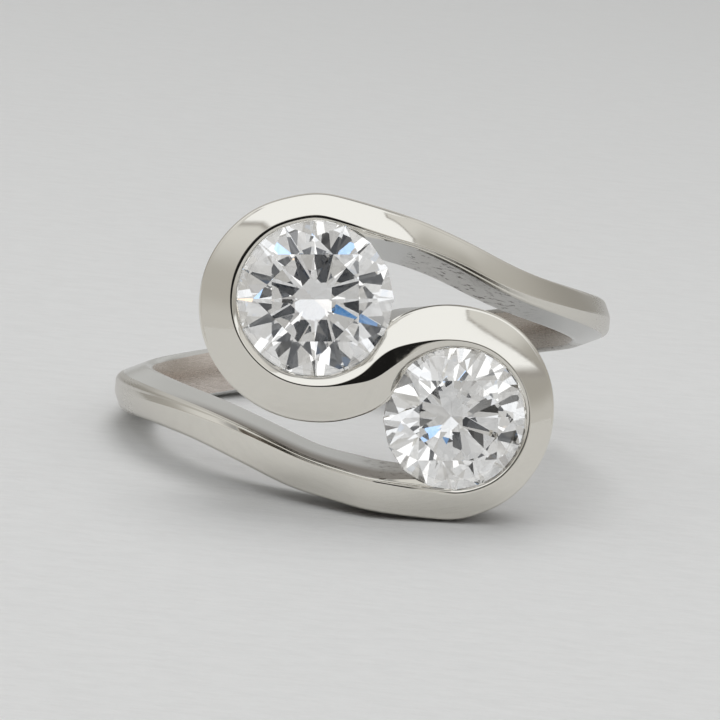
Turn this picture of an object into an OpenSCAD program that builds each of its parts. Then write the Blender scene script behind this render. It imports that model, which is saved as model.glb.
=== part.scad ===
/* [Band] */
// Inside diameter of the band, a US size 8
finger_d = 18.1; // [17.3:0.1:18.9]
// Thickness of the band behind the finger
band_t = 1.75; // [1.5:0.05:2]
// Width of the band's outer face behind the finger
band_w = 1.7; // [1.6:0.05:1.8]
// Rise of the head's middle over the back's outer radius
head_rise = 1.8; // [1.75:0.05:1.95]

/* [Stones] */
// Diameter of the upper stone
upper_d = 6.5; // [6.2:0.1:6.6]
// Diameter of the lower stone
lower_d = 6; // [5.7:0.1:6.1]
// Distance from the middle of the head to each stone's centre
stone_reach = 3.81; // [3.75:0.01:3.9]
// Slope of the line that joins the stones, down to the right
stone_line = 48.2; // [44:0.1:52]
// Lean of the upper stone's face away from the lower stone
upper_cant = 3.5; // [2:0.5:5]
// Lean of the lower stone's face away from the upper stone
lower_cant = 8; // [6:0.5:9]
// Depth of a stone's girdle under the crest of its rim
girdle_depth = 0.55; // [0.45:0.05:0.6]
// Angle of a main facet from the stone's own right-hand side, about its axis
facet_turn = 14.7; // [0:0.1:45]

/* [Rest] */
// Fall of the band to the rear as the ring lies on its side
rest_pitch = 12.13; // [8:0.01:18]
// Fall of the band to the left as the ring lies on its side
rest_roll = 13.38; // [6:0.01:16]
// Height of the finger's centre above the surface
rest_height = 3.991; // [3:0.001:5]
// Distance of the finger's centre behind the middle of the whole ring
rest_back = 1.2; // [0.8:0.01:1.6]

/* [Hidden] */
// Space between a stone and the metal round it
seat_gap = 0.03;
// What the rim covers of a stone's edge
lip = 0.1;
// Width of the seat's shoulder under a stone's edge
shoulder = 0.3;
// Height of the rim's inner edge over the middle of the girdle
rim_rise = 0.12;
// Rounding of the rim's inner edge
rim_round = 0.03;
// Lean of the wall under a stone, for each unit of depth
under_lean = 0.12;
// Width of the crest on the arms and the shank
arm_flat = 0.05;
// Smallest step under an outer edge
nick = 0.02;
// Outward bow of the faces beside the crest
bow = 0.03;
// How far the ribbon's foot passes into the finger's space, before that is cut
foot_over = 0.4;
// How far the rounding of an inner edge runs on past the finger's surface
round_over = 0.08;
// Rounding of the band's inner edges behind the finger, and the angle where it is full
inner_round = 0.45;
inner_full = 58;
// What is left of that rounding round the stones
inner_least = 0.12;
// Place of a rounding's middle, as a share of its radius
round_mid = 0.3;
// Sections of the ribbon between two rows of the tables
steps = 4;
// Shares of a brilliant's diameter, for both stones
table_share = 0.55;
girdle_share = 0.025;
// Shares of its own diameter, for the upper stone and for the lower one
crown_shares = [0.11, 0.13];
pavilion_shares = [0.434, 0.446];
// Shares of a brilliant's radius at the star points and the lower facets' inner points
star_share = 0.78;
lower_share = 0.21;
// Half the angle between two main facets
half_facet = 22.5;

finger_r = finger_d / 2;
shank_r = finger_r + band_t;
head_front = shank_r + head_rise;

// The ribbon round a stone, from the middle of the head outward to its arm.
// turn: angle round the stone from the line that joins the two, clockwise from the front
// upper_w, lower_w: the ribbon's width outside the stone, for each stone
// upper_rim, lower_rim: distance of the crest from the stone's edge, for each stone
// flat: width of the crest
// fall: drop from the crest to the outer edge
// edge: rounding of the outer edge
// step: shoulder under the outer edge, where the other stone sits there
// splay: outward lean of the outer wall for each unit of depth
// deep: depth of the ribbon
BEZEL = [
    [  0, 1.37, 1.37, 0.68, 0.68, 0.70, 0.50, 0.03, 0.24,  0.06, 3.8],
    [ 14, 1.88, 1.84, 0.60, 0.58, 0.46, 0.52, 0.06, 0.06,  0.00, 3.8],
    [ 28, 1.90, 1.82, 0.48, 0.44, 0.12, 0.52, 0.08, 0.02, -0.08, 3.9],
    [ 43, 1.85, 1.73, 0.39, 0.32, 0.03, 0.50, 0.08, 0.02, -0.14, 4.0],
    [ 64, 1.78, 1.62, 0.36, 0.22, 0.03, 0.48, 0.08, 0.02, -0.16, 4.1],
    [ 87, 1.71, 1.51, 0.31, 0.15, 0.03, 0.46, 0.08, 0.02, -0.16, 4.2],
    [110, 1.64, 1.35, 0.27, 0.10, 0.03, 0.44, 0.08, 0.02, -0.16, 4.1],
    [132, 1.54, 1.20, 0.23, 0.07, 0.05, 0.42, 0.08, 0.02, -0.16, 4.0],
    [156, 1.41, 1.10, 0.19, 0.06, 0.05, 0.38, 0.09, 0.02, -0.16, 3.9],
    [180, 1.25, 1.05, 0.16, 0.05, 0.05, 0.34, 0.10, 0.02, -0.19, 3.8],
    [202, 1.13, 1.08, 0.13, 0.06, 0.07, 0.31, 0.11, 0.02, -0.13, 3.7],
    [224, 1.07, 1.16, 0.11, 0.07, 0.09, 0.28, 0.12, 0.02, -0.08, 3.6],
    [243, 1.08, 1.24, 0.08, 0.08, 0.09, 0.25, 0.12, 0.02, -0.08, 3.6],
];

// The arms and the shank, from the head to the back of the finger.
// angle: round the finger's axis from the front
// upper, lower: rise of the ribbon's middle on each arm, towards its own stone's side
// front: rise of the crest over the back's outer radius
// upper_w, lower_w: width at the outer edges over the back's, on each arm
// rim: distance of the crest from the stone's side
// drop, fall: drop from the crest to the edge on the stone's side and on the other
// round, edge: rounding of those two edges
// lean, splay: outward lean of the wall on the stone's side and of the other
ARM = [
    [  5, 5.35, 5.54, 1.40, -0.50, -0.36, 0.12, 0.22, 0.22, 0.05, 0.12, 0.22, -0.10],
    [ 12, 4.67, 4.98, 1.20, -0.57, -0.38, 0.13, 0.18, 0.20, 0.06, 0.13, 0.19, -0.11],
    [ 20, 3.76, 4.27, 0.94, -0.55, -0.30, 0.16, 0.17, 0.18, 0.07, 0.14, 0.12, -0.08],
    [ 28, 2.84, 3.41, 0.68, -0.48, -0.24, 0.20, 0.16, 0.16, 0.08, 0.16, 0.07, -0.04],
    [ 37, 2.03, 2.50, 0.44, -0.43, -0.24, 0.27, 0.15, 0.14, 0.10, 0.18, 0.06,  0.04],
    [ 47, 1.42, 1.68, 0.24, -0.38, -0.26, 0.36, 0.13, 0.12, 0.14, 0.22, 0.08,  0.08],
    [ 58, 0.92, 1.04, 0.10, -0.30, -0.24, 0.46, 0.11, 0.10, 0.20, 0.27, 0.12,  0.12],
    [ 71, 0.50, 0.52, 0.02, -0.20, -0.18, 0.60, 0.09, 0.09, 0.28, 0.33, 0.16,  0.16],
    [ 87, 0.19, 0.18, 0.00, -0.08, -0.08, 0.76, 0.08, 0.08, 0.36, 0.38, 0.19,  0.19],
    [106, 0.03, 0.05, 0.00, -0.02, -0.02, 0.84, 0.08, 0.08, 0.40, 0.40, 0.22,  0.22],
    [128, 0.00, 0.00, 0.00,  0.00,  0.00, 0.85, 0.08, 0.08, 0.42, 0.42, 0.23,  0.23],
    [154, 0.00, 0.00, 0.00,  0.00,  0.00, 0.85, 0.08, 0.08, 0.42, 0.42, 0.23,  0.23],
];
// Drop, rounding and lean of both sides at the very back
back_drop = 0.08;
back_round = 0.42;
back_lean = 0.23;

function unit(v) = v / norm(v);

// A vector turned about a unit axis
function turned(v, axis, a) =
    v * cos(a) + cross(axis, v) * sin(a) + axis * (axis * v) * (1 - cos(a));

// side is 1 for the upper stone, on the left, and -1 for the lower one, on the right
along = [cos(stone_line), 0, -sin(stone_line)];
hinge = [sin(stone_line), 0, cos(stone_line)];
function stone_d(side) = side > 0 ? upper_d : lower_d;
function crown_share(side) = crown_shares[side > 0 ? 0 : 1];
function pavilion_share(side) = pavilion_shares[side > 0 ? 0 : 1];
function cant(side) = side > 0 ? upper_cant : lower_cant;
function canted(v, side) = turned(v, hinge, -side * cant(side));
// Both rims meet at the middle of the head, at the height of the crest there
function centre(side) =
    let (front = head_front - girdle_depth * cos(cant(side)) - stone_reach * sin(cant(side)))
    -side * stone_reach * along + [0, -front, 0];

// A row of the ribbon: place and outward direction, then for the stone's side and the other
// side the reach, drop, rounding, step and lean, and then the crest, its half flat, the depth
// and the rounding of the inner edges
function bezel_row(b, side) =
    let (middle = b[0] == 0)
    let (width = b[side > 0 ? 1 : 2] + (middle ? 2 : 1) * lip)
    let (radius = stone_d(side) / 2 - lip + width / 2)
    let (a = -stone_line - b[0])
    let (around = side * radius * [cos(a), 0, sin(a)])
    let (outer = [width / 2, b[6], b[7], b[8], b[9]])
    let (inner = [width / 2, girdle_depth - rim_rise, rim_round, shoulder, under_lean])
    [
        centre(side) + canted(around + [0, -girdle_depth, 0], side),
        canted([0, -1, 0], side),
        middle ? outer : inner,
        outer,
        [width / 2 - lip - b[side > 0 ? 3 : 4], b[5] / 2, b[10], inner_least]
    ];

function arm_row(r, side) =
    let (half = (band_w + r[side > 0 ? 4 : 5]) / 2)
    let (out = [side * sin(r[0]), -cos(r[0]), 0])
    [
        out * (shank_r + r[3]) + [0, 0, side * r[side > 0 ? 1 : 2]],
        out,
        [half, r[7], r[9], nick, r[11]],
        [half, r[8], r[10], nick, r[12]],
        [half - r[6], arm_flat / 2, band_t + r[3] + foot_over, inner_round * min(1, r[0] / inner_full)]
    ];

// The back of the band: the same on both sides
back_side = [band_w / 2, back_drop, back_round, nick, back_lean];
back_crest = [0, arm_flat / 2, band_t + foot_over, inner_round];
back_row = [[0, shank_r, 0], [0, 1, 0], back_side, back_side, back_crest];

// The other half is travelled backwards, so its stone is on the left of the way
function swapped(r) = [r[0], r[1], r[3], r[2], [-r[4][0], r[4][1], r[4][2], r[4][3]]];
function backwards(rows) = [for (i = [len(rows) - 1 : -1 : 0]) swapped(rows[i])];
rows = concat(
    [for (b = BEZEL) bezel_row(b, 1)],
    [for (r = ARM) arm_row(r, 1)],
    [back_row],
    backwards([for (r = ARM) arm_row(r, -1)]),
    backwards([for (i = [1 : len(BEZEL) - 1]) bezel_row(BEZEL[i], -1)])
);
count = len(rows);

// A smooth curve through the rows, the last joined to the first
function between(p, q, r, s, t) =
    0.5 * (2 * q + (r - p) * t + (2 * p - 5 * q + 4 * r - s) * t * t
        + (3 * q - p - 3 * r + s) * t * t * t);
function channel(i, t, k) = between(
    rows[(i + count - 1) % count][k], rows[i][k],
    rows[(i + 1) % count][k], rows[(i + 2) % count][k], t);
stations = [
    for (i = [0 : count - 1]) for (j = [0 : steps - 1])
        [for (k = [0 : 4]) channel(i, j / steps, k)]
];
total = len(stations);

// One side of a section as [across, height] points, from the crest down to the foot
function side_points(s, crest, depth, inner) =
    let (top = s[0] - s[2])
    let (low = s[1] + s[2])
    let (bore = depth - foot_over + round_over)
    let (wide = s[0] + s[3] + s[4] * (bore - inner - low))
    [
        [crest, 0],
        [(crest + top) / 2, bow - s[1] / 2],
        [top, -s[1]],
        [s[0] - round_mid * s[2], -s[1] - round_mid * s[2]],
        [s[0], -low],
        [s[0] + s[3], -low - nick],
        [wide, inner - bore],
        [wide - round_mid * inner, round_mid * inner - bore],
        [wide - inner, -bore],
        [wide - inner, -depth]
    ];
ring_size = 20;

// All points of a section: down the right-hand side of the way, then up the left
function section(n) =
    let (s = stations[n])
    let (ahead = stations[(n + 1) % total][0])
    let (behind = stations[(n + total - 1) % total][0])
    let (outward = unit(s[1]))
    let (right = unit(cross(ahead - behind, outward)))
    let (crest = s[4][0])
    let (half = s[4][1])
    let (depth = s[4][2])
    let (near = side_points(s[2], crest + half, depth, s[4][3]))
    let (far = side_points(s[3], half - crest, depth, s[4][3]))
    concat(
        [for (p = near) s[0] + right * p[0] + outward * p[1]],
        [for (i = [len(far) - 1 : -1 : 0]) s[0] - right * far[i][0] + outward * far[i][1]]
    );

module ribbon() {
    points = [for (n = [0 : total - 1]) each section(n)];
    faces = [
        for (n = [0 : total - 1]) for (i = [0 : ring_size - 1])
            let (a = n * ring_size)
            let (b = ((n + 1) % total) * ring_size)
            let (j = (i + 1) % ring_size)
            each [[a + i, b + i, b + j], [a + i, b + j, a + j]]
    ];
    polyhedron(points, faces, convexity = 8);
}

// A brilliant about its own axis, the girdle's middle at the origin, the table upward
module brilliant(side) {
    d = stone_d(side);
    r = d / 2;
    top = girdle_share * d / 2;
    table_r = table_share * r / cos(half_facet);
    table_z = top + crown_share(side) * d;
    culet_z = -top - pavilion_share(side) * d;
    crown_slope = (table_z - top) / (r - table_r);
    star_r = star_share * r;
    star_z = table_z - (star_r * cos(half_facet) - table_r) * crown_slope;
    low_r = lower_share * r;
    low_z = culet_z + low_r * cos(half_facet) * (-top - culet_z) / r;
    function ring(n, radius, start, z) =
        [for (i = [0 : n - 1]) let (a = start + i * 360 / n) [radius * cos(a), radius * sin(a), z]];
    points = concat(
        ring(8, table_r, 0, table_z), ring(8, star_r, half_facet, star_z),
        ring(16, r, 0, top), ring(16, r, 0, -top),
        ring(8, low_r, half_facet, low_z), [[0, 0, culet_z]]
    );
    star = 8;
    upper = 16;
    lower = 32;
    tips = 48;
    culet = 56;
    faces = concat(
        [[for (i = [7 : -1 : 0]) i]],
        [for (i = [0 : 7]) [i, (i + 1) % 8, star + i]],
        [for (i = [0 : 7]) [i, star + i, upper + 2 * i, star + (i + 7) % 8]],
        [for (i = [0 : 7]) [star + i, upper + 2 * i + 1, upper + 2 * i]],
        [for (i = [0 : 7]) [star + i, upper + (2 * i + 2) % 16, upper + 2 * i + 1]],
        [for (i = [0 : 15]) [upper + i, upper + (i + 1) % 16, lower + (i + 1) % 16, lower + i]],
        [for (i = [0 : 7]) [lower + 2 * i, lower + 2 * i + 1, tips + i]],
        [for (i = [0 : 7]) [lower + 2 * i + 1, lower + (2 * i + 2) % 16, tips + i]],
        [for (i = [0 : 7]) [lower + 2 * i, tips + i, culet, tips + (i + 7) % 8]]
    );
    polyhedron(points, faces, convexity = 4);
}

// The space that a stone takes in the metal
module seat(side) {
    d = stone_d(side);
    r = d / 2 + seat_gap;
    top = girdle_share * d / 2 + seat_gap / 2;
    rotate_extrude($fn = 72)
        polygon([
            [0, -top - pavilion_share(side) * d - seat_gap],
            [r, -top],
            [r, top],
            [table_share * d / 2 / cos(half_facet) + seat_gap, top + crown_share(side) * d],
            [0, top + crown_share(side) * d]
        ]);
}

// Puts a stone or a seat, made about its own axis, where it sits in the head
module in_head(side) {
    translate(centre(side))
        rotate(a = -side * cant(side), v = hinge)
            rotate([90, 0, 0])
                children();
}

// The ring as it lies: turned from the upright finger axis and lifted
module at_rest() {
    translate([0, rest_back, rest_height])
        rotate([-rest_pitch, 0, 0])
            rotate([0, -rest_roll, 0])
                children();
}

module ring_band() {
    color("silver")
        at_rest()
            difference() {
                ribbon();
                cylinder(h = 40, r = finger_r, center = true, $fn = 144);
                in_head(1) seat(1);
                in_head(-1) seat(-1);
            }
}

module stone(side) {
    color("aliceblue")
        at_rest()
            in_head(side)
                rotate([0, 0, facet_turn])
                    brilliant(side);
}

ring_band();
stone(1);  // upper_stone
stone(-1);  // lower_stone
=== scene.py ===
"""Polished white metal bypass ring with two round brilliants, lying on a pale surface."""
import math

import bpy
import numpy as np
from mathutils import Matrix, Vector


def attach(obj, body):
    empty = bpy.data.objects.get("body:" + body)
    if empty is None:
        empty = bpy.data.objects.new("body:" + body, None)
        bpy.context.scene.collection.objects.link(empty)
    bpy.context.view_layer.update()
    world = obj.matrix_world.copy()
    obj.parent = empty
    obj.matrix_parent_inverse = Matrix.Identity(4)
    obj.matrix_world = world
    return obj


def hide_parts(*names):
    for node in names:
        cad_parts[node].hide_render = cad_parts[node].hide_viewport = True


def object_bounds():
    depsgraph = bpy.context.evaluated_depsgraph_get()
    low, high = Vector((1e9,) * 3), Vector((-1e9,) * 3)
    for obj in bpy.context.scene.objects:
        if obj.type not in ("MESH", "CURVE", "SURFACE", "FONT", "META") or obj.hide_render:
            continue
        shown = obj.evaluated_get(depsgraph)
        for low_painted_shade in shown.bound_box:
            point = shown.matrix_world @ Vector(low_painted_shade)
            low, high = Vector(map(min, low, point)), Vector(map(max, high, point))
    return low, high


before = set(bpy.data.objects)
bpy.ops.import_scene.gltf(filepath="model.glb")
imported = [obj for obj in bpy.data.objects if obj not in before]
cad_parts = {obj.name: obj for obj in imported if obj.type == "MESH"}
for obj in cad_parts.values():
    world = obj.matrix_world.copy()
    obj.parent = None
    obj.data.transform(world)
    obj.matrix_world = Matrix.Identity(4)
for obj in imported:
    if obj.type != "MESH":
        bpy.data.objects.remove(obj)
cad_box = [list(v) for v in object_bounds()]

MM = 0.001

# The same driving values as the part's source
FINGER_R = 9.05
SHANK_R = 10.8
BAND_W = 1.7
BAND_T = 1.75
HEAD_FRONT = 12.6
STONE_D = {1: 6.5, -1: 6.0}
CANT = {1: 3.5, -1: 8.0}
STONE_REACH = 3.81
STONE_LINE = 48.2
GIRDLE_DEPTH = 0.55
FACET_TURN = 14.7
PITCH, ROLL, HEIGHT, BACK = 12.13, 13.38, 3.991, 1.2
SEAT_GAP, LIP, SHOULDER = 0.03, 0.1, 0.3
RIM_RISE, RIM_ROUND, UNDER_LEAN = 0.12, 0.03, 0.12
TABLE, GIRDLE = 0.55, 0.025
CROWN = {1: 0.11, -1: 0.13}
PAVILION = {1: 0.434, -1: 0.446}
# Where the stars and the lower halves end, as shares of a stone's radius
STAR, LOWER = 0.78, 0.21
# Slope of the faces just beside the crest, round the stones
FLANK = 0.37
FOOT_OVER, ROUND_OVER, INNER_ROUND, INNER_FULL, INNER_LEAST = 0.4, 0.08, 0.45, 58, 0.12
ARM_FLAT, NICK, HALF_FACET = 0.05, 0.02, 22.5

# Round each stone, from the middle of the S on: angle; the metal's width by the upper and the lower stone;
# how far outward of each stone's edge the crest lies; width of the crest's flat; drop, rounding, step and
# lean of the outer side; depth
BEZEL = [
    [0, 1.37, 1.37, 0.68, 0.68, 0.70, 0.50, 0.03, 0.24, 0.06, 3.8],
    [14, 1.88, 1.84, 0.60, 0.58, 0.46, 0.52, 0.06, 0.06, 0.00, 3.8],
    [28, 1.90, 1.82, 0.48, 0.44, 0.12, 0.52, 0.08, 0.02, -0.08, 3.9],
    [43, 1.85, 1.73, 0.39, 0.32, 0.03, 0.50, 0.08, 0.02, -0.14, 4.0],
    [64, 1.78, 1.62, 0.36, 0.22, 0.03, 0.48, 0.08, 0.02, -0.16, 4.1],
    [87, 1.71, 1.51, 0.31, 0.15, 0.03, 0.46, 0.08, 0.02, -0.16, 4.2],
    [110, 1.64, 1.35, 0.27, 0.10, 0.03, 0.44, 0.08, 0.02, -0.16, 4.1],
    [132, 1.54, 1.20, 0.23, 0.07, 0.05, 0.42, 0.08, 0.02, -0.16, 4.0],
    [156, 1.41, 1.10, 0.19, 0.06, 0.09, 0.38, 0.09, 0.02, -0.16, 3.9],
    [180, 1.25, 1.05, 0.16, 0.05, 0.10, 0.34, 0.10, 0.02, -0.19, 3.8],
    [202, 1.13, 1.08, 0.13, 0.06, 0.09, 0.31, 0.11, 0.02, -0.13, 3.7],
    [224, 1.07, 1.16, 0.11, 0.07, 0.09, 0.28, 0.12, 0.02, -0.08, 3.6],
    [243, 1.08, 1.24, 0.08, 0.08, 0.09, 0.25, 0.12, 0.02, -0.08, 3.6],
]
# Along each arm: angle from the front; rise of the upper and the lower arm; how far out they stand; what
# each adds to the band's width; how far the crest lies from the side towards the other arm; drop, rounding
# and lean, each for that side and then for the far side
ARM = [
    [5, 5.35, 5.54, 1.40, -0.50, -0.36, 0.12, 0.22, 0.22, 0.05, 0.12, 0.22, -0.10],
    [12, 4.67, 4.98, 1.20, -0.57, -0.38, 0.13, 0.18, 0.20, 0.06, 0.13, 0.19, -0.11],
    [20, 3.76, 4.27, 0.94, -0.55, -0.30, 0.16, 0.17, 0.18, 0.07, 0.14, 0.12, -0.08],
    [28, 2.84, 3.41, 0.68, -0.48, -0.24, 0.20, 0.16, 0.16, 0.08, 0.16, 0.07, -0.04],
    [37, 2.03, 2.50, 0.44, -0.43, -0.24, 0.27, 0.15, 0.14, 0.10, 0.18, 0.06, 0.04],
    [47, 1.42, 1.68, 0.24, -0.38, -0.26, 0.36, 0.13, 0.12, 0.14, 0.22, 0.08, 0.08],
    [58, 0.92, 1.04, 0.10, -0.30, -0.24, 0.46, 0.11, 0.10, 0.20, 0.27, 0.12, 0.12],
    [71, 0.50, 0.52, 0.02, -0.20, -0.18, 0.60, 0.09, 0.09, 0.28, 0.33, 0.16, 0.16],
    [87, 0.19, 0.18, 0.00, -0.08, -0.08, 0.76, 0.08, 0.08, 0.36, 0.38, 0.19, 0.19],
    [106, 0.03, 0.05, 0.00, -0.02, -0.02, 0.84, 0.08, 0.08, 0.40, 0.40, 0.22, 0.22],
    [128, 0.00, 0.00, 0.00, 0.00, 0.00, 0.85, 0.08, 0.08, 0.42, 0.42, 0.23, 0.23],
    [154, 0.00, 0.00, 0.00, 0.00, 0.00, 0.85, 0.08, 0.08, 0.42, 0.42, 0.23, 0.23],
]

rad = math.radians
# The line from stone to stone, and the axis that their faces lean about
line = rad(STONE_LINE)
ALONG = np.array([math.cos(line), 0, -math.sin(line)])
HINGE = np.array([math.sin(line), 0, math.cos(line)])


def turned(points, axis, angle):
    """Points, or one point, turned about a unit axis through the origin by an angle in degrees."""
    points, angle = np.asarray(points, float), rad(angle)
    along = np.outer(points @ axis, axis).reshape(points.shape)
    return (points * math.cos(angle) + np.cross(axis, points) * math.sin(angle)
            + along * (1 - math.cos(angle)))


def at_rest(p):
    """From the ring's own frame, finger axis upright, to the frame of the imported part, in metres."""
    p = np.asarray(p, float)
    r, q = rad(-ROLL), rad(-PITCH)
    ry = np.array([[math.cos(r), 0, math.sin(r)], [0, 1, 0], [-math.sin(r), 0, math.cos(r)]])
    rx = np.array([[1, 0, 0], [0, math.cos(q), -math.sin(q)], [0, math.sin(q), math.cos(q)]])
    return (p @ (rx @ ry).T + [0, BACK, HEIGHT]) * MM


def direction(v):
    """A direction of the ring's own frame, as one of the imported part's."""
    return (at_rest(v) - at_rest([0, 0, 0])) / MM


def centre(side):
    """The middle of a stone's girdle; side is 1 for the upper stone and -1 for the lower one."""
    lean = rad(CANT[side])
    front = HEAD_FRONT - GIRDLE_DEPTH * math.cos(lean) - STONE_REACH * math.sin(lean)
    return -side * STONE_REACH * ALONG + np.array([0, -front, 0])


def in_head(p, side):
    """From a stone's own frame, table upward, to the ring's frame."""
    p = np.asarray(p, float)
    p = np.stack([p[..., 0], -p[..., 2], p[..., 1]], -1)
    return centre(side) + turned(p, HINGE, -side * CANT[side])


# The ribbon. A row holds its place and outward way (0 to 5); reach, drop, rounding, step and lean of the
# near side (6 to 10) and of the far side (11 to 15); the crest's place and half its flat (16, 17); the depth
# (18); the share of the drop that falls evenly, near and far (19, 20); and the rounding at the foot (21)
def bezel_row(b, side):
    middle = b[0] == 0
    width = b[1 if side > 0 else 2] + (2 if middle else 1) * LIP
    radius = STONE_D[side] / 2 - LIP + width / 2
    a = rad(-STONE_LINE - b[0])
    around = side * radius * np.array([math.cos(a), 0, math.sin(a)])
    outer = [width / 2, b[6], b[7], b[8], b[9]]
    inner = outer if middle else [width / 2, GIRDLE_DEPTH - RIM_RISE, RIM_ROUND, SHOULDER, UNDER_LEAN]
    place = centre(side) + turned(around + [0, -GIRDLE_DEPTH, 0], HINGE, -side * CANT[side])
    out = turned([0, -1, 0], HINGE, -side * CANT[side])
    crest = width / 2 - LIP - b[3 if side > 0 else 4]
    early = FLANK * (width / 2 - crest) / inner[1]
    late = FLANK * (width / 2 + crest) / outer[1] if middle else 1
    return [*place, *out, *inner, *outer, crest, b[5] / 2, b[10], early, late, INNER_LEAST]


def arm_row(r, side):
    half = (BAND_W + r[4 if side > 0 else 5]) / 2
    a = rad(r[0])
    out = np.array([side * math.sin(a), -math.cos(a), 0])
    place = out * (SHANK_R + r[3]) + [0, 0, side * r[1 if side > 0 else 2]]
    return [*place, *out, half, r[7], r[9], NICK, r[11], half, r[8], r[10], NICK, r[12],
            half - r[6], ARM_FLAT / 2, BAND_T + r[3] + FOOT_OVER, 1, 1,
            INNER_ROUND * min(1, r[0] / INNER_FULL)]


def swapped(r):
    """A row whose near and far sides have changed places."""
    return [*r[:6], *r[11:16], *r[6:11], -r[16], *r[17:19], r[20], r[19], r[21]]


# Either side of the shank at the rear
back = [BAND_W / 2, 0.08, 0.42, NICK, 0.23]
rows = [bezel_row(b, 1) for b in BEZEL] + [arm_row(r, 1) for r in ARM]
rows += [[0, SHANK_R, 0, 0, 1, 0, *back, *back, 0, ARM_FLAT / 2, BAND_T + FOOT_OVER, 1, 1, INNER_ROUND]]
rows += [swapped(arm_row(r, -1)) for r in reversed(ARM)]
rows += [swapped(bezel_row(b, -1)) for b in reversed(BEZEL[1:])]
rows = np.array(rows)


def periodic_spline(y, per):
    """A closed curve with continuous curvature through the rows, by solving for its slopes."""
    n = len(y)
    m = np.zeros((n, n))
    for i in range(n):
        m[i, i], m[i, (i + 1) % n], m[i, i - 1] = 4, 1, 1
    slope = np.linalg.solve(m, 3 * (np.roll(y, -1, 0) - np.roll(y, 1, 0)))
    t = np.arange(per)[:, None] / per
    out = []
    for i in range(n):
        a, b, da, db = y[i], y[(i + 1) % n], slope[i], slope[(i + 1) % n]
        out.append(a * (2 * t**3 - 3 * t**2 + 1) + da * (t**3 - 2 * t**2 + t)
                   + b * (3 * t**2 - 2 * t**3) + db * (t**3 - t**2))
    return np.concatenate(out)


def smooth(y, s, sigma):
    """Averages values that are evenly spaced at s round a closed curve."""
    k = int(4 * sigma / s)
    w = np.exp(-0.5 * (np.arange(-k, k + 1) * s / sigma) ** 2)
    w /= w.sum()
    return sum(wi * np.roll(y, j, 0) for wi, j in zip(w, range(-k, k + 1)))


# Stations round the ribbon, and points of the first curve from one row to the next
COUNT, PER_ROW = 1100, 100
# How far the ribbon's middle line and its form are smoothed along it
LINE_SMOOTH, FORM_SMOOTH = 0.25, 0.45
# Faces on each side of the foot that are as cast, and the distance kept from the CAD box in metres
WALL, MARGIN = 13, 2e-6
# Sides of the finger's hole and of a seat, and the angle from which an edge stays sharp
HOLE_SIDES, SEAT_SIDES, SHARP_EDGE = 360, 144, 40
# Places of the finishes in the ribbon's list
POLISHED, AS_CAST, SATIN = 0, 1, 2

# The curve through the rows, and then stations that are evenly spaced along it
dense = periodic_spline(rows, PER_ROW)
step = np.linalg.norm(np.roll(dense[:, :3], -1, 0) - dense[:, :3], axis=1)
total = step.sum()
at = np.concatenate([[0], np.cumsum(step)])
wanted = np.arange(COUNT) * total / COUNT
closed = np.concatenate([dense, dense[:1]])
path = np.stack([np.interp(wanted, at, closed[:, k]) for k in range(dense.shape[1])], 1)
spacing = total / COUNT
place = smooth(path[:, :3], spacing, LINE_SMOOTH)
path = smooth(path, spacing, FORM_SMOOTH)
path[:, :3] = place


def arc(a, b, n):
    """Points of a quarter of an ellipse that leaves a flat and comes down beside it."""
    turns = [math.pi / 2 * i / n for i in range(n + 1)]
    return [(a * math.sin(turn), b * (1 - math.cos(turn))) for turn in turns]


# A side's fall beside the crest: the longest rounding of the crest, its longest share of the side, the place
# where the fall steepens, how sharply it does, and its outward bow
CREST_SOFT, CREST_SHARE, STEEPER, SHARPNESS, BOW = 0.035, 0.3, 0.62, 1.6, 0.06
# Places of a side's points as shares of its fall and of its wall, and the steps of its two roundings
FALL_SHARES = (0.2, 0.4, 0.58, 0.7, 0.78, 0.85, 0.91, 0.96, 1)
WALL_SHARES = (0.05, 0.2, 0.5, 0.8, 0.95)
EDGE_STEPS, INNER_STEPS = 5, 6


def side_profile(s, crest, depth, early, inner):
    """One side of a section as (across, height), from beside the crest down to the foot."""
    reach, drop, rounding, step_out, lean = s
    top = reach - rounding
    wide = top - crest
    soft = min(CREST_SOFT, CREST_SHARE * wide)
    slope = early * drop / wide
    points = [(crest + soft * t, -slope * soft * t * t / 2) for t in (0, 0.25, 0.5, 0.75, 1)]
    x0, z0 = points[-1]
    for t in FALL_SHARES:
        late = max(0, (t - STEEPER) / (1 - STEEPER)) ** SHARPNESS
        z = z0 + (-drop * early - z0) * t - drop * (1 - early) * late
        points.append((x0 + (top - x0) * t, z + BOW * t * (1 - t) * min(1, wide) * early))
    for x, z in arc(rounding, rounding, EDGE_STEPS)[1:]:
        points.append((top + x, -drop - z))
    low = drop + rounding + NICK
    points.append((reach + step_out, -low - step_out * 0.3))
    bore = depth - FOOT_OVER + ROUND_OVER
    wall = bore - inner - low
    for t in WALL_SHARES:
        points.append((reach + step_out + lean * wall * t, -low - wall * t - NICK * (1 - t)))
    x0 = reach + step_out + lean * wall
    for t in range(INNER_STEPS + 1):
        a = math.pi / 2 * t / INNER_STEPS
        points.append((x0 - inner * (1 - math.cos(a)), inner - bore - inner * math.sin(a)))
    points.append((x0 - inner, -depth))
    return points


ahead = np.roll(path[:, :3], -1, 0) - np.roll(path[:, :3], 1, 0)
sections = []
for i in range(COUNT):
    p = path[i]
    out = p[3:6] / np.linalg.norm(p[3:6])
    right = np.cross(ahead[i], out)
    right /= np.linalg.norm(right)
    crest, half, depth = p[16], p[17], p[18]
    near = side_profile(p[6:11], crest + half, depth, p[19], p[21])
    far = side_profile(p[11:16], half - crest, depth, p[20], p[21])
    flat = [(crest, 0.0)]
    points = [p[:3] + right * x + out * z for x, z in flat + near]
    points += [p[:3] - right * x + out * z for x, z in reversed(far)]
    sections.append(points)
sections = np.array(sections)


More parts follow.
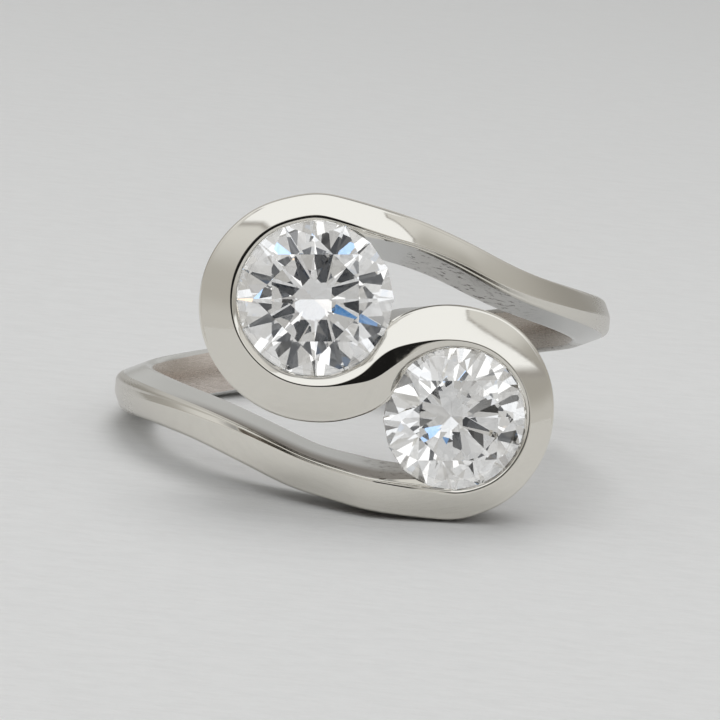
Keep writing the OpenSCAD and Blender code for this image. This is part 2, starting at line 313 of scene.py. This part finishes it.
def mesh_object(name, vertices, faces):
    mesh = bpy.data.meshes.new(name)
    mesh.from_pydata([tuple(v) for v in vertices], [], faces)
    mesh.update()
    obj = bpy.data.objects.new(name, mesh)
    bpy.context.scene.collection.objects.link(obj)
    return obj


def ribbon_mesh(name):
    n, m, _ = sections.shape
    faces = []
    for a in range(n):
        b = (a + 1) % n
        for i in range(m):
            j = (i + 1) % m
            faces.append((a * m + i, a * m + j, b * m + j, b * m + i))
    return mesh_object(name, at_rest(sections.reshape(-1, 3)), faces)


def lathe(name, profile, count, place_points):
    """A solid of revolution about its own axis, from (radius, height) points; the ends lie on the axis."""
    vertices, faces = [], []
    z0, z1 = profile[0][1], profile[-1][1]
    inner = profile[1:-1]
    for k in range(count):
        a = 2 * math.pi * k / count
        vertices += [(r * math.cos(a), r * math.sin(a), z) for r, z in inner]
    m = len(inner)
    low, high = len(vertices), len(vertices) + 1
    vertices += [(0, 0, z0), (0, 0, z1)]
    for k in range(count):
        a, b = k * m, ((k + 1) % count) * m
        for i in range(m - 1):
            faces.append((a + i, b + i, b + i + 1, a + i + 1))
        faces.append((low, b, a))
        faces.append((high, a + m - 1, b + m - 1))
    return mesh_object(name, place_points(np.array(vertices)), faces)


def seat_profile(side):
    d = STONE_D[side]
    r, top = d / 2 + SEAT_GAP, GIRDLE * d / 2 + SEAT_GAP / 2
    high = top + CROWN[side] * d
    return [(0, -top - PAVILION[side] * d - SEAT_GAP), (r, -top), (r, top),
            (TABLE * d / 2 / math.cos(rad(HALF_FACET)) + SEAT_GAP, high), (0, high)]


def cut(obj, tools):
    for tool in tools:
        modifier = obj.modifiers.new("cut", "BOOLEAN")
        modifier.operation, modifier.object, modifier.solver = "DIFFERENCE", tool, "MANIFOLD"
        with bpy.context.temp_override(object=obj, active_object=obj):
            bpy.ops.object.modifier_apply(modifier=modifier.name)
    for tool in tools:
        bpy.data.objects.remove(tool)


def shade(obj, angle):
    obj.data.shade_smooth()
    with bpy.context.temp_override(object=obj, active_object=obj, selected_objects=[obj],
                                   selected_editable_objects=[obj]):
        bpy.ops.object.shade_smooth_by_angle(angle=rad(angle))


def wear(obj, index, finishes):
    """Gives an object the ring's finishes, with one of them on all its faces."""
    for finish in finishes:
        obj.data.materials.append(finish)
    obj.data.polygons.foreach_set("material_index", [index] * len(obj.data.polygons))


# The stones
def brilliant(name, side):
    """A round brilliant: table, stars, kites, upper and lower halves, and a faceted girdle."""
    d = STONE_D[side]
    r = d / 2
    cos = math.cos(rad(HALF_FACET))
    top = GIRDLE * d / 2
    table_r = TABLE * r / cos
    table_z = top + CROWN[side] * d
    culet_z = -top - PAVILION[side] * d
    slope = (table_z - top) / (r - table_r)
    star_r = STAR * r
    star_z = table_z - (star_r * cos - table_r) * slope
    low_r = LOWER * r
    low_z = culet_z + low_r * cos * (-top - culet_z) / r

    def ring(n, radius, start, z):
        return [(radius * math.cos(rad(start + i * 360 / n + FACET_TURN)),
                 radius * math.sin(rad(start + i * 360 / n + FACET_TURN)), z) for i in range(n)]

    points = (ring(8, table_r, 0, table_z) + ring(8, star_r, HALF_FACET, star_z) + ring(16, r, 0, top)
              + ring(16, r, 0, -top) + ring(8, low_r, HALF_FACET, low_z) + [(0, 0, culet_z)])
    # Where each ring of points starts in the list, and the culet's place
    star, crown, base, tips, culet = 8, 16, 32, 48, 56
    faces = [tuple(range(8))]
    for i in range(8):
        j = (i + 1) % 8
        faces += [(i, star + i, j), (i, star + (i + 7) % 8, crown + 2 * i, star + i),
                  (star + i, crown + 2 * i, crown + 2 * i + 1),
                  (star + i, crown + 2 * i + 1, crown + (2 * i + 2) % 16),
                  (base + 2 * i, tips + i, base + 2 * i + 1),
                  (base + 2 * i + 1, tips + i, base + (2 * i + 2) % 16),
                  (base + 2 * i, tips + (i + 7) % 8, culet, tips + i)]
    for i in range(16):
        j = (i + 1) % 16
        faces.append((crown + i, base + i, base + j, crown + j))
    return mesh_object(name, at_rest(in_head(np.array(points), side)), faces)


upper = brilliant("upper_brilliant", 1)
lower = brilliant("lower_brilliant", -1)


# Materials. Their places and distances are in metres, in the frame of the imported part
class Tree:
    """Adds nodes to one shader tree; a number or a tuple goes straight onto a socket."""

    def __init__(self, owner):
        owner.use_nodes = True
        self.nodes, self.links = owner.node_tree.nodes, owner.node_tree.links

    def put(self, socket, value):
        if hasattr(value, "is_output"):
            self.links.new(value, socket)
        else:
            socket.default_value = value

    def math(self, op, a, b=0.0):
        node = self.nodes.new("ShaderNodeMath")
        node.operation = op
        self.put(node.inputs[0], a)
        self.put(node.inputs[1], b)
        return node.outputs[0]

    def vector(self, op, a, b, out="Vector", third=None):
        node = self.nodes.new("ShaderNodeVectorMath")
        node.operation = op
        self.put(node.inputs[0], a)
        self.put(node.inputs[1], b)
        if third:
            self.put(node.inputs[2], third)
        return node.outputs[out]

    def ramp(self, value, low, high, first=0.0, last=1.0):
        """first below low and last above high, with a soft change between them; low may be the larger."""
        if low > high:
            low, high, first, last = high, low, last, first
        node = self.nodes.new("ShaderNodeMapRange")
        node.interpolation_type = "SMOOTHSTEP"
        self.put(node.inputs["Value"], value)
        for name, v in (("From Min", low), ("From Max", high), ("To Min", first), ("To Max", last)):
            node.inputs[name].default_value = v
        return node.outputs["Result"]

    def layer(self, under, over, mask):
        """One colour over another, where the mask is 1."""
        node = self.nodes.new("ShaderNodeMix")
        node.data_type = "RGBA"
        self.put(node.inputs["Factor"], mask)
        for socket, colour in ((node.inputs[6], under), (node.inputs[7], over)):
            self.put(socket, (*colour, 1) if isinstance(colour, tuple) else colour)
        return node.outputs[2]

    def noise(self, where, scale, detail=2.0, rough=0.5):
        node = self.nodes.new("ShaderNodeTexNoise")
        self.put(node.inputs["Vector"], where)
        for name, v in (("Scale", scale), ("Detail", detail), ("Roughness", rough)):
            node.inputs[name].default_value = v
        return node.outputs["Fac"]

    def bump(self, height, distance, under=None):
        node = self.nodes.new("ShaderNodeBump")
        node.inputs["Strength"].default_value = 1
        node.inputs["Distance"].default_value = distance
        self.put(node.inputs["Height"], height)
        if under:
            self.put(node.inputs["Normal"], under)
        return node.outputs["Normal"]

    def where(self, kind="Object"):
        return self.nodes.new("ShaderNodeTexCoord").outputs[kind]


def material(name, **sockets):
    """A new material and its tree, with constants set on the sockets of its shader."""
    mat = bpy.data.materials.new(name)
    tree = Tree(mat)
    tree.bsdf = tree.nodes["Principled BSDF"].inputs
    for key, value in sockets.items():
        tree.put(tree.bsdf[key.replace("_", " ")], value)
    return mat, tree


# The polished metal's colour
METAL = (0.80, 0.775, 0.715)


def split(t, where):
    """The three coordinates of a place on the ring."""
    node = t.nodes.new("ShaderNodeSeparateXYZ")
    t.put(node.inputs[0], where)
    return node.outputs


def radius(t, where):
    """Distance from the finger's axis."""
    axis = tuple(direction((0, 0, 1)))
    arm = t.vector("SUBTRACT", where, tuple(at_rest((0, 0, 0))))
    along = t.vector("DOT_PRODUCT", arm, axis, "Value")
    away = t.vector("MULTIPLY_ADD", tuple(-a for a in axis), along, third=arm)
    return t.vector("LENGTH", away, (0, 0, 0), "Value")


def polished():
    """Mirror finish with a faint unevenness and fine wiping marks, duller to the rear and darker there as
    painted shade.
    """
    mat, t = material("polished_white_metal", Metallic=1)
    where = t.where()
    rear = t.ramp(split(t, where)["Y"], -0.008, -0.001)
    # Painted shade: towards the rear the metal's colour darkens
    t.put(t.bsdf["Base Color"], t.layer(METAL, (0.66, 0.64, 0.60), rear))
    marks = t.noise(t.vector("MULTIPLY", where, (1, 1, 6)), 3500, 3, 0.6)
    dull = t.math("MULTIPLY", rear, 0.24)
    t.put(t.bsdf["Roughness"], t.math("ADD", t.ramp(marks, 0.35, 0.75, 0.035, 0.085), dull))
    t.put(t.bsdf["Normal"], t.bump(t.noise(where, 900, 2, 0.4), 0.0000025))
    return mat


def as_cast():
    """The walls below the rims: satin, darker and pitted beside both stones; painted shade low at right,
    darkest by the lower crest.
    """
    mat, t = material("as_cast_white_metal", Metallic=1)
    where = t.where()
    xyz = split(t, where)
    grain = t.noise(where, 9000, 4, 0.65)
    pits = t.ramp(t.noise(t.vector("MULTIPLY", where, (1, 1.6, 1)), 2900, 3, 0.65), 0.585, 0.66)
    beside = t.math("MULTIPLY", t.ramp(xyz["X"], 0.0002, 0.0012), t.ramp(xyz["X"], 0.0072, 0.0045))
    slant = t.math("ADD", xyz["Z"], t.math("MULTIPLY", xyz["X"], 0.33))
    under = t.math("MULTIPLY", t.ramp(slant, 0.0091, 0.0095), t.ramp(slant, 0.0114, 0.0111))
    beside = t.math("MULTIPLY", beside, under)
    below = t.ramp(xyz["Z"], 0.0058, 0.0050)
    # Painted shade on the walls low down on the right
    low_painted_shade = t.math("MULTIPLY", below, t.ramp(xyz["X"], -0.0008, 0.0012))
    pitted = t.math("MULTIPLY", pits, t.math("MAXIMUM", beside, low_painted_shade))
    # Painted shade on the top of the wall by the lower arm's crest, at the left
    crest_painted_shade = t.math("MULTIPLY", t.ramp(radius(t, where), 0.0101, 0.0111), t.ramp(xyz["X"], -0.0095, -0.006))
    crest_painted_shade = t.math("MULTIPLY", crest_painted_shade, below)
    colour = t.layer((0.76, 0.76, 0.745), (0.58, 0.58, 0.57), t.ramp(xyz["X"], -0.0065, 0.001))
    colour = t.layer(colour, (0.52, 0.51, 0.49), beside)
    colour = t.layer(colour, (0.36, 0.345, 0.32), low_painted_shade)
    colour = t.layer(colour, (0.20, 0.17, 0.14), crest_painted_shade)
    colour = t.layer(colour, (0.10, 0.08, 0.065), t.math("MULTIPLY", pitted, 0.8))
    t.put(t.bsdf["Base Color"], colour)
    t.put(t.bsdf["Roughness"], t.ramp(grain, 0.3, 0.7, 0.20, 0.24))
    rough = t.math("MULTIPLY", grain, beside)
    t.put(t.bsdf["Normal"], t.bump(pitted, -0.00003, t.bump(rough, 0.000007)))
    return mat


def worn_inside():
    """The finger's side of the band: satin, with fine marks round it."""
    mat, t = material("satin_white_metal", Metallic=1)
    axis = tuple(direction((0, 0, 1)))
    where = t.where()
    height = t.vector("DOT_PRODUCT", where, axis, "Value")
    marks = t.noise(t.vector("MULTIPLY_ADD", tuple(14 * a for a in axis), height, third=where), 2200, 3, 0.6)
    colour = t.layer((0.76, 0.69, 0.64), (0.64, 0.58, 0.53), t.ramp(marks, 0.35, 0.65))
    to_right = t.ramp(split(t, where)["X"], -0.004, 0.009)
    t.put(t.bsdf["Base Color"], t.layer(colour, (0.42, 0.38, 0.34), to_right))
    t.put(t.bsdf["Roughness"], t.ramp(marks, 0.3, 0.7, 0.22, 0.34))
    t.put(t.bsdf["Normal"], t.bump(marks, 0.000006))
    return mat


def zirconia(name, side):
    """Clear and colourless; a faint blue haze and a few cells of blue and amber behind the girdle are painted
    fire.
    """
    mat, t = material(name, Roughness=0, IOR=2.16, Transmission_Weight=1)
    where = t.where()
    middle, above_table = at_rest(in_head(np.array([(0, 0, 0), (0, 0, 1)]), side))
    inside = t.vector("SUBTRACT", where, tuple(middle))
    depth = t.vector("DOT_PRODUCT", inside, tuple((above_table - middle) / MM), "Value")
    behind = t.ramp(depth, 0, -0.0003)
    cells = t.nodes.new("ShaderNodeTexVoronoi")
    t.put(cells.inputs["Vector"], where)
    cells.inputs["Scale"].default_value = 2600
    chance = t.nodes.new("ShaderNodeSeparateColor")
    t.put(chance.inputs[0], cells.outputs["Color"])
    # Painted fire: a faint blue haze and sparse blue and amber cells in the colour behind the girdle
    painted_fire_haze = t.ramp(t.noise(where, 420, 1), 0.42, 0.6)
    painted_blue_fire, painted_amber_fire = t.ramp(chance.outputs[0], 0.91, 0.92), t.ramp(chance.outputs[1], 0.95, 0.96)
    clear = t.layer((1, 1, 1), (0.96, 0.98, 1), t.math("MULTIPLY", behind, painted_fire_haze))
    clear = t.layer(clear, (0.30, 0.52, 1), t.math("MULTIPLY", behind, painted_blue_fire))
    clear = t.layer(clear, (1, 0.86, 0.68), t.math("MULTIPLY", behind, painted_amber_fire))
    t.put(t.bsdf["Base Color"], clear)
    t.put(t.bsdf["Normal"], t.bump(t.noise(where, 5000, 2), 0.00000004))
    return mat


finishes = [polished(), as_cast(), worn_inside()]

ribbon = ribbon_mesh("ribbon")
wear(ribbon, POLISHED, finishes)
around = sections.shape[1]
foot = (around - 1) // 2
walls = [AS_CAST if abs(i % around - foot) <= WALL else POLISHED for i in range(len(ribbon.data.polygons))]
ribbon.data.polygons.foreach_set("material_index", walls)
finger = lathe("finger", [(0, -20), (FINGER_R, -20), (FINGER_R, 20), (0, 20)], HOLE_SIDES, at_rest)
wear(finger, SATIN, finishes)
seats = [lathe(f"seat{s}", seat_profile(s), SEAT_SIDES, lambda p, s=s: at_rest(in_head(p, s)))
         for s in (1, -1)]
for seat in seats:
    wear(seat, POLISHED, finishes)
cut(ribbon, [finger, *seats])
shade(ribbon, SHARP_EDGE)
ribbon.modifiers.new("even", "WEIGHTED_NORMAL").keep_sharp = True
corners = np.array([v.co for v in ribbon.data.vertices])
corners = np.clip(corners, np.array(cad_box[0]) + MARGIN, np.array(cad_box[1]) - MARGIN)
ribbon.data.vertices.foreach_set("co", corners.ravel())

upper.data.materials.append(zirconia("upper_zirconia", 1))
lower.data.materials.append(zirconia("lower_zirconia", -1))

PIECES = [(ribbon, "ring_band", "metal"), (upper, "upper_stone", "stone"), (lower, "lower_stone", "stone")]
for piece, node, slot in PIECES:
    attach(piece, "root")
    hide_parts(node)


# Surface, light and camera
def paper():
    """Pale fine-grained paper, a little darker to the rear as painted shade."""
    mat, t = material("pale_paper", Roughness=0.85)
    where = t.where()
    fibres = t.noise(t.vector("MULTIPLY", where, (0.35, 1, 1)), 1500, 5, 0.75)
    # Painted shade: the paper darkens towards the rear, where the light falls off
    colour = t.layer((0.76, 0.762, 0.762), (0.53, 0.532, 0.53), t.ramp(split(t, where)["Y"], -0.02, 0.25))
    t.put(t.bsdf["Base Color"], t.layer(colour, (0.58, 0.58, 0.575), t.ramp(fibres, 0.3, 0.75, 0, 0.22)))
    t.put(t.bsdf["Normal"], t.bump(fibres, 0.00009))
    return mat


floor = mesh_object("floor", [(-3, -2, 0), (3, -2, 0), (3, 4, 0), (-3, 4, 0)], [(0, 1, 2, 3)])
floor.data.materials.append(paper())

# The photograph's camera, from the ring's own frame: its distance in millimetres, the picture's pixels to a
# millimetre there, and where the ring's middle falls in the picture
LENS_TURN, LENS_RISE, TILT, DISTANCE, PIXELS = rad(4.4), rad(1.3), rad(7.8), 250, 23.15
SENSOR, PICTURE, MIDDLE = 36, 720, (362.5, 355.2)
level = math.cos(LENS_RISE)
toward = np.array([-math.sin(LENS_TURN) * level, -math.cos(LENS_TURN) * level, math.sin(LENS_RISE)])
right0 = np.cross([0, 0, 1], toward)
right0 /= np.linalg.norm(right0)
up0 = np.cross(toward, right0)
picture_right = math.cos(TILT) * right0 - math.sin(TILT) * up0
picture_up = math.cos(TILT) * up0 + math.sin(TILT) * right0

camera_data = bpy.data.cameras.new("camera")
camera = bpy.data.objects.new("camera", camera_data)
bpy.context.scene.collection.objects.link(camera)
bpy.context.scene.camera = camera
camera_data.sensor_width = SENSOR
camera_data.lens = SENSOR * DISTANCE / (PICTURE / PIXELS)
camera_data.shift_x = -(MIDDLE[0] - PICTURE / 2) / PICTURE
camera_data.shift_y = (MIDDLE[1] - PICTURE / 2) / PICTURE
camera_data.clip_start, camera_data.clip_end = 0.01, 20
RIGHTWARD, UPWARD, TO_LENS = (Vector(direction(v)) for v in (picture_right, picture_up, toward))
placing = Matrix((RIGHTWARD, UPWARD, TO_LENS)).transposed().to_4x4()
placing.translation = Vector(at_rest(toward * DISTANCE))
camera.matrix_world = placing


# Directions in degrees: across to the right of the lens, above it, and height over the horizon
world = bpy.data.worlds.new("studio")
bpy.context.scene.world = world
studio = Tree(world)
studio.nodes.clear()
way = studio.where("Generated")


def share(v):
    """How far the way looked in goes along a direction, from -1 to 1."""
    return studio.vector("DOT_PRODUCT", way, tuple(v), "Value")


DEG = 180 / math.pi
across = studio.math("MULTIPLY", studio.math("ARCTAN2", share(RIGHTWARD), share(TO_LENS)), DEG)
above = studio.math("MULTIPLY", studio.math("ARCSINE", share(UPWARD)), DEG)
height = studio.math("MULTIPLY", studio.math("ARCSINE", share((0, 0, 1))), DEG)


def offset(turn, rise, angle):
    """How far a direction lies from a place towards an angle, in degrees."""
    sideways = studio.math("MULTIPLY", studio.math("SUBTRACT", across, turn), math.cos(rad(angle)))
    upwards = studio.math("MULTIPLY", studio.math("SUBTRACT", above, rise), math.sin(rad(angle)))
    return studio.math("ADD", sideways, upwards)


def spot(turn, rise, wide, high, soft, lean=0.0):
    """An oval patch of the studio, lean degrees anticlockwise."""
    u = studio.math("DIVIDE", offset(turn, rise, lean), wide)
    v = studio.math("DIVIDE", offset(turn, rise, lean + 90), high)
    r = studio.math("SQRT", studio.math("ADD", studio.math("MULTIPLY", u, u), studio.math("MULTIPLY", v, v)))
    return studio.ramp(r, 1 + soft, 1 - soft)


def beyond(turn, rise, angle, soft):
    """The side of a line through that place that lies towards the angle."""
    return studio.ramp(offset(turn, rise, angle), -soft, soft)


def combined(op, masks):
    out = masks[0]
    for mask in masks[1:]:
        out = studio.math(op, out, mask)
    return out


def both(*masks):
    return combined("MULTIPLY", masks)


def either(*masks):
    return combined("MAXIMUM", masks)


def painted(light, tone, *masks):
    """The light with a tone over it where all the masks hold; a single number is a neutral grey."""
    colour = tone if isinstance(tone, tuple) else (tone, tone, tone)
    return studio.layer(light, colour, both(*masks))


# The room, from its walls to the rear and the ceiling
front, rear = studio.ramp(share(TO_LENS), -0.35, 0.1), studio.ramp(share(TO_LENS), 0.1, -0.6)
far_rear = studio.ramp(share(TO_LENS), -0.72, -0.86)
light = (0.60, 0.595, 0.58)
light = painted(light, (0.51, 0.50, 0.475), studio.ramp(height, 4, 12), studio.ramp(height, 30, 18))
light = painted(light, (0.43, 0.42, 0.395), spot(63, 9, 14, 13, 0.4))
light = painted(light, (0.76, 0.76, 0.745), studio.ramp(height, 22, 38), front)
light = painted(light, (0.37, 0.36, 0.335), rear, studio.ramp(height, 34, 14))
light = painted(light, 0.36, studio.ramp(height, 50, 64))
light = painted(light, (0.60, 0.60, 0.585), far_rear, studio.ramp(height, 2, 8))

# A softbox over the lens, with its darker frame
softbox = both(
    either(beyond(-30, 36, 90, 2.5), both(beyond(8, 20, 62, 3), beyond(24, 13.5, 80, 3))),
    either(beyond(31, 30, 180, 1), beyond(38.5, 25, -123.7, 1)),
    beyond(-61, 50, 0, 1.5), beyond(0, 68, -90, 6))
light = painted(light, (1.06, 1.08, 1.10), softbox)
edge = studio.math("MULTIPLY", both(softbox, studio.math("SUBTRACT", 1, softbox)), 2.6)
light = painted(light, (0.22, 0.20, 0.18), edge, studio.ramp(height, 60, 45))

# The lens and the dark shape beside it
light = painted(light, 0.012, spot(5.3, -1, 9.3, 11.2, 0.1, -15))
light = painted(light, 0.014, spot(17, -6, 9.5, 6.5, 0.1, -20))
background = studio.nodes.new("ShaderNodeBackground")
studio.put(background.inputs["Color"], light)
background.inputs["Strength"].default_value = 1
studio.put(studio.nodes.new("ShaderNodeOutputWorld").inputs[0], background.outputs[0])


def lamp(name, aim, width, radiance, colour, seen_by):
    """A distant round light of that width and brightness, for the named kinds of ray alone."""
    data = bpy.data.lights.new(name, "SUN")
    data.angle, data.color = rad(width), colour
    data.energy = radiance * math.pi * (rad(width) / 2) ** 2
    obj = bpy.data.objects.new(name, data)
    obj.rotation_euler = aim.to_track_quat("Z", "Y").to_euler()
    for kind in ("diffuse", "glossy", "transmission"):
        setattr(obj, f"visible_{kind}", kind in seen_by)
    bpy.context.scene.collection.objects.link(obj)


WHITE, BLUE, AMBER, SLATE = (1, 1, 1), (0.12, 0.45, 1), (1, 0.55, 0.20), (0.45, 0.65, 1)

# A broad lamp behind the ring casts the soft shadow
KEY_HEIGHT, KEY_TURN, KEY_WIDTH, KEY_RADIANCE = rad(62), rad(6), 38, 2.8
turn = math.atan2(-TO_LENS[1], -TO_LENS[0]) - KEY_TURN
level = math.cos(KEY_HEIGHT)
key = Vector((math.cos(turn) * level, math.sin(turn) * level, math.sin(KEY_HEIGHT)))
lamp("key", key, KEY_WIDTH, KEY_RADIANCE, WHITE, ("diffuse",))

# Lamps that only sparkle in the stones: across, above, width, brightness, colour
GLINTS = [
    (-20, -16, 16, 0.8, WHITE), (28, 2, 14, 0.8, WHITE), (-18, 18, 14, 0.8, WHITE), (8, -30, 16, 0.8, WHITE),
    (70, -10, 30, 0.8, WHITE), (-70, 0, 30, 0.8, WHITE), (-35, 27, 22, 0.7, WHITE), (50, 15, 24, 0.7, WHITE),
    (-25, -40, 24, 0.7, WHITE), (30, -42, 24, 0.7, WHITE), (6, -1, 26, 0.02, SLATE),
    (-12, 8, 5, 1.0, BLUE), (22, 12, 5, 1.0, BLUE), (2, -24, 5, 1.0, BLUE), (-27, -6, 5, 1.0, BLUE),
    (0, 5, 2.6, 0.5, BLUE), (3, -8, 1.6, 0.4, BLUE), (16, -20, 4, 0.8, AMBER), (-8, 22, 4, 0.8, AMBER),
]
for k, (turn, rise, width, radiance, colour) in enumerate(GLINTS):
    turn, rise = rad(turn), rad(rise)
    level = math.cos(rise)
    aim = TO_LENS * (math.cos(turn) * level) + RIGHTWARD * (math.sin(turn) * level) + UPWARD * math.sin(rise)
    lamp(f"glint{k}", aim, width, radiance, colour, ("transmission",))

scene = bpy.context.scene
scene.view_settings.view_transform = "Standard"
scene.cycles.max_bounces = 24
scene.cycles.transmission_bounces = 24
scene.cycles.glossy_bounces = 12
scene.cycles.transparent_max_bounces = 12
